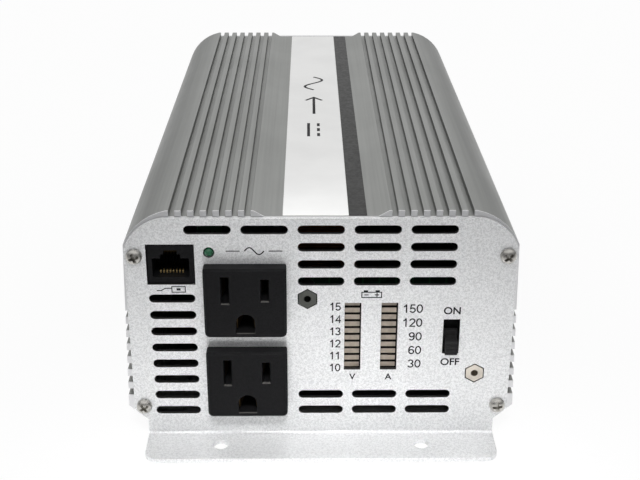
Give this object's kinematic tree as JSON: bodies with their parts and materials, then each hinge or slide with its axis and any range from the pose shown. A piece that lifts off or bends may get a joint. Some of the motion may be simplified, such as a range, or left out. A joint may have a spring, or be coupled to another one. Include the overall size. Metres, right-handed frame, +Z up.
{
  "type": "power inverter",
  "caption": "Box-shaped DC to AC power inverter: ribbed aluminium case, vented end panels with bent feet, outlets, bar meters, slide switch, fan and terminals.",
  "frame": {"origin": "on the floor under the middle of the case, level with the undersides of the feet", "axes": "+X to the right seen from the front, the front panel with the outlets faces -Y, +Z up"},
  "size_m": [0.1304, 0.2704, 0.0828],
  "materials": {
    "anodised_case": "satin grey anodised extrusion",
    "blasted_panel": "bead-blasted silver sheet",
    "nickel_steel": "nickel-plated steel",
    "black_moulding": "black moulded plastic, low gloss",
    "red_moulding": "red moulded plastic",
    "brass": "bright brass",
    "gilt_wire": "gold-plated spring wire",
    "board_laminate": "green circuit-board laminate",
    "green_lens": "green diffused lens, unlit",
    "meter_segments": "unlit diffused segments in a black housing",
    "ferrite": "dark grey ferrite",
    "copper_winding": "enamelled copper wire",
    "capacitor_sleeve": "dark blue sleeve"
  },
  "bodies": {
    "housing": {"case_extrusion": "anodised_case", "base_plate": "anodised_case", "front_panel": "blasted_panel", "rear_panel": "blasted_panel", "front_panel_screw_1": "nickel_steel", "front_panel_screw_2": "nickel_steel", "front_panel_screw_3": "nickel_steel", "front_panel_screw_4": "nickel_steel", "rear_panel_screw_1": "nickel_steel", "rear_panel_screw_2": "nickel_steel", "rear_panel_screw_3": "nickel_steel", "rear_panel_screw_4": "nickel_steel", "outlet_upper": "black_moulding", "outlet_lower": "black_moulding", "outlet_upper_neutral_contact": "brass", "outlet_upper_live_contact": "brass", "outlet_upper_ground_contact": "brass", "outlet_lower_neutral_contact": "brass", "outlet_lower_live_contact": "brass", "outlet_lower_ground_contact": "brass", "remote_jack": "black_moulding", "remote_jack_contacts": "gilt_wire", "remote_board": "board_laminate", "status_led": "green_lens", "volts_bar_display": "meter_segments", "amps_bar_display": "meter_segments", "power_switch_body": "black_moulding", "display_board": "board_laminate", "display_standoff_left": "nickel_steel", "display_standoff_right": "brass", "display_board_screw_1": "nickel_steel", "display_board_screw_2": "nickel_steel", "cooling_fan_frame": "black_moulding", "fan_guard": "nickel_steel", "fan_screw_1": "nickel_steel", "fan_screw_2": "nickel_steel", "fan_screw_3": "nickel_steel", "fan_screw_4": "nickel_steel", "positive_terminal_insulator": "red_moulding", "negative_terminal_insulator": "black_moulding", "positive_terminal_post": "brass", "negative_terminal_post": "brass", "positive_terminal_nut": "nickel_steel", "negative_terminal_nut": "nickel_steel", "main_board": "board_laminate", "transformer_1_core": "ferrite", "transformer_2_core": "ferrite", "transformer_1_winding": "copper_winding", "transformer_2_winding": "copper_winding", "input_capacitor_1": "capacitor_sleeve", "input_capacitor_2": "capacitor_sleeve", "output_choke": "copper_winding", "transistor_clamp_left": "nickel_steel", "transistor_clamp_right": "nickel_steel", "transistor_1": "black_moulding", "transistor_2": "black_moulding", "transistor_3": "black_moulding", "transistor_4": "black_moulding"},
    "switch_knob": {"power_switch_slider": "black_moulding"},
    "fan_rotor": {"cooling_fan_rotor": "black_moulding"}
  },
  "joints": [
    {"name": "power_switch", "type": "slide", "parent": "housing", "child": "switch_knob", "axis": [0, 0, 1], "range_m": [0, 0.0067]},
    {"name": "fan_spin", "type": "hinge", "parent": "housing", "child": "fan_rotor", "pos_m": [0, 0.1116, 0.0415], "axis": [0, 1, 0], "continuous": true}
  ]
}
